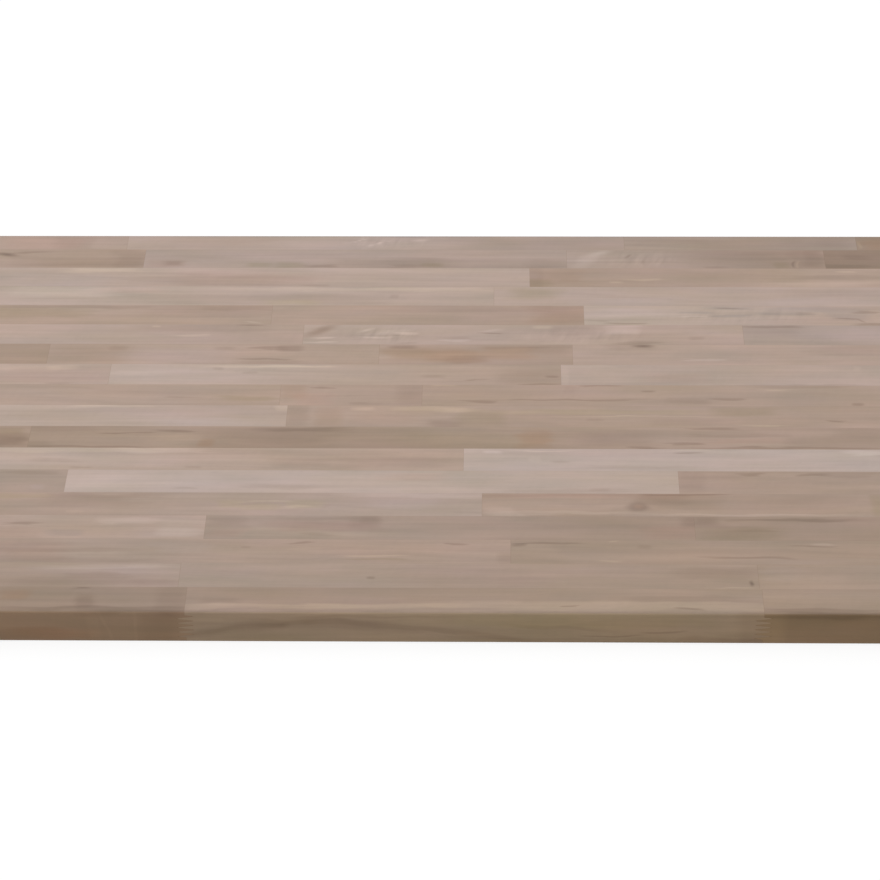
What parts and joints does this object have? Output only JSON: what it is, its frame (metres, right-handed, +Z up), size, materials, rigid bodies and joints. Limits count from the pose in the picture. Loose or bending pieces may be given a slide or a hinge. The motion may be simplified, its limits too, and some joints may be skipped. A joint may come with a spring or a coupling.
{
  "type": "butcher block countertop",
  "caption": "Edge-glued solid hardwood butcher block countertop made of finger-jointed staves in staggered rows, with eased edges.",
  "frame": {"origin": "middle of the underside, where the panel rests on its cabinets", "axes": "+X along the length and the grain, +Y from the front edge to the back edge, +Z up through the thickness"},
  "size_m": [1.219, 0.635, 0.0381],
  "materials": {
    "pale_wood": "unfinished, sanded",
    "light_wood": "unfinished, sanded",
    "middling_wood": "unfinished, sanded",
    "brown_wood": "unfinished, sanded",
    "dark_wood": "unfinished, sanded"
  },
  "bodies": {
    "root": {"row_01_stave_1": "dark_wood", "row_01_stave_2": "middling_wood", "row_01_stave_3": "brown_wood", "row_02_stave_1": "dark_wood", "row_02_stave_2": "middling_wood", "row_02_stave_3": "light_wood", "row_03_stave_1": "brown_wood", "row_03_stave_2": "middling_wood", "row_03_stave_3": "middling_wood", "row_04_stave_1": "light_wood", "row_04_stave_2": "middling_wood", "row_04_stave_3": "dark_wood", "row_05_stave_1": "middling_wood", "row_05_stave_2": "middling_wood", "row_06_stave_1": "dark_wood", "row_06_stave_2": "pale_wood", "row_06_stave_3": "brown_wood", "row_07_stave_1": "light_wood", "row_07_stave_2": "pale_wood", "row_08_stave_1": "brown_wood", "row_08_stave_2": "dark_wood", "row_08_stave_3": "middling_wood", "row_09_stave_1": "pale_wood", "row_09_stave_2": "brown_wood", "row_09_stave_3": "middling_wood", "row_10_stave_1": "middling_wood", "row_10_stave_2": "brown_wood", "row_10_stave_3": "middling_wood", "row_11_stave_1": "middling_wood", "row_11_stave_2": "light_wood", "row_11_stave_3": "light_wood", "row_12_stave_1": "dark_wood", "row_12_stave_2": "middling_wood", "row_12_stave_3": "brown_wood", "row_12_stave_4": "middling_wood", "row_13_stave_1": "light_wood", "row_13_stave_2": "brown_wood", "row_13_stave_3": "light_wood", "row_13_stave_4": "light_wood", "row_14_stave_1": "brown_wood", "row_14_stave_2": "brown_wood", "row_14_stave_3": "light_wood", "row_15_stave_1": "light_wood", "row_15_stave_2": "light_wood", "row_15_stave_3": "middling_wood", "row_16_stave_1": "middling_wood", "row_16_stave_2": "light_wood", "row_16_stave_3": "dark_wood", "row_17_stave_1": "brown_wood", "row_17_stave_2": "middling_wood", "row_17_stave_3": "middling_wood", "row_17_stave_4": "dark_wood", "row_18_stave_1": "brown_wood", "row_18_stave_2": "middling_wood", "row_18_stave_3": "middling_wood", "row_18_stave_4": "dark_wood"}
  },
  "joints": []
}
